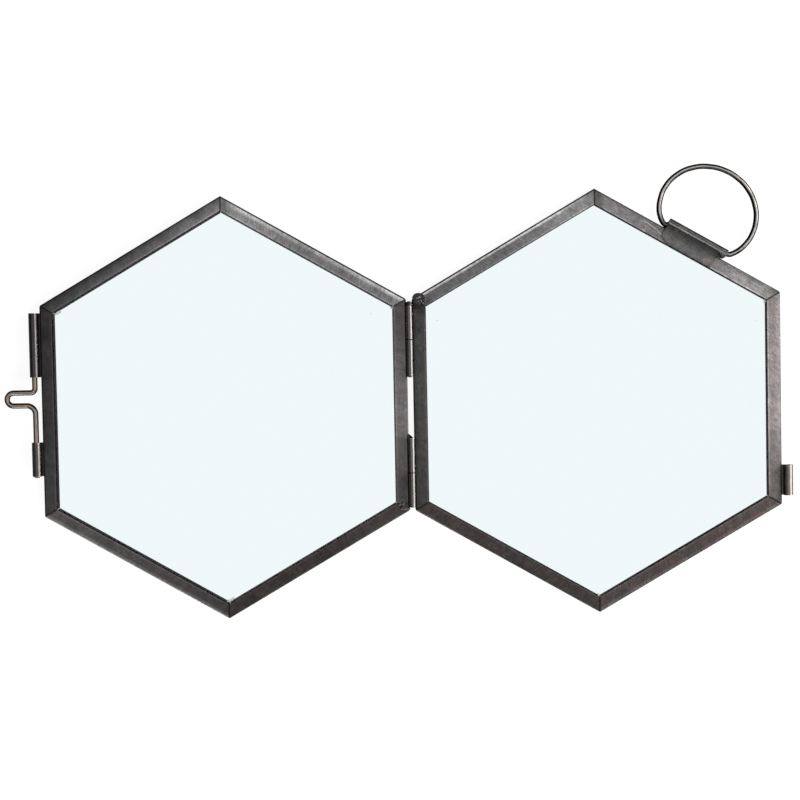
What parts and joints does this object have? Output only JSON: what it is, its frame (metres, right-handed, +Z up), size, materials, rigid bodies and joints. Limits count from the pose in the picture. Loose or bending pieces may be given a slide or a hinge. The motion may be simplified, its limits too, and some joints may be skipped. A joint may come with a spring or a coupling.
{
  "type": "hanging photo frame",
  "caption": "Book-like hanging photo frame: hinged hexagonal glass leaves in dark metal channel, closed by a slide bolt and hung from a wire ring in a rolled clip.",
  "frame": {"origin": "middle of the opened frame's footprint, on the surface that its back lies on", "axes": "+X across both leaves towards the leaf that hangs from the ring, +Y along the hinge line towards the ring, +Z up out of the faces that meet when the frame is closed"},
  "size_m": [0.2795, 0.159, 0.0054],
  "materials": {
    "dark_channel": "dark antique patina, brushed and slightly mottled",
    "rolled_sheet": "dark antique patina rubbed brighter on the crown",
    "worn_wire": "drawn wire with a brown patina, worn bright",
    "corner_solder": "lumpy darkened solder",
    "clear_glass": "clear, polished"
  },
  "bodies": {
    "right_leaf": {"right_glass": "clear_glass", "right_leaf_rail_top_left": "dark_channel", "right_leaf_rail_top_right": "dark_channel", "right_leaf_rail_hinge_side": "dark_channel", "right_leaf_rail_bottom_right": "dark_channel", "right_leaf_rail_bottom_left": "dark_channel", "right_leaf_rail_keeper_side": "dark_channel", "right_corner_solder": "corner_solder", "upper_knuckle_right": "rolled_sheet", "lower_knuckle_right": "rolled_sheet", "upper_hinge_pin": "worn_wire", "lower_hinge_pin": "worn_wire", "latch_keeper": "rolled_sheet", "ring_clip": "rolled_sheet"},
    "left_leaf": {"left_glass": "clear_glass", "left_leaf_rail_top_left": "dark_channel", "left_leaf_rail_top_right": "dark_channel", "left_leaf_rail_hinge_side": "dark_channel", "left_leaf_rail_bottom_right": "dark_channel", "left_leaf_rail_bottom_left": "dark_channel", "left_leaf_rail_latch_side": "dark_channel", "left_corner_solder": "corner_solder", "upper_knuckle_left": "rolled_sheet", "lower_knuckle_left": "rolled_sheet", "latch_guide_tube": "rolled_sheet", "latch_short_tube": "rolled_sheet"},
    "latch_bolt": {"latch_bolt": "worn_wire"},
    "hanging_ring": {"hanging_ring": "worn_wire"}
  },
  "joints": [
    {"name": "leaf_fold", "type": "hinge", "parent": "right_leaf", "child": "left_leaf", "pos_m": [0.00466, -0.00423, 0.00375], "axis": [0, 1, 0], "range_deg": [0, 180]},
    {"name": "bolt_slide", "type": "slide", "parent": "left_leaf", "child": "latch_bolt", "axis": [0, -1, 0], "range_m": [-0.0035, 0.0098]},
    {"name": "ring_swing", "type": "hinge", "parent": "right_leaf", "child": "hanging_ring", "pos_m": [0.1073, 0.05296, 0.00212], "axis": [0.866, -0.5, 0], "range_deg": [-105, 98]}
  ]
}
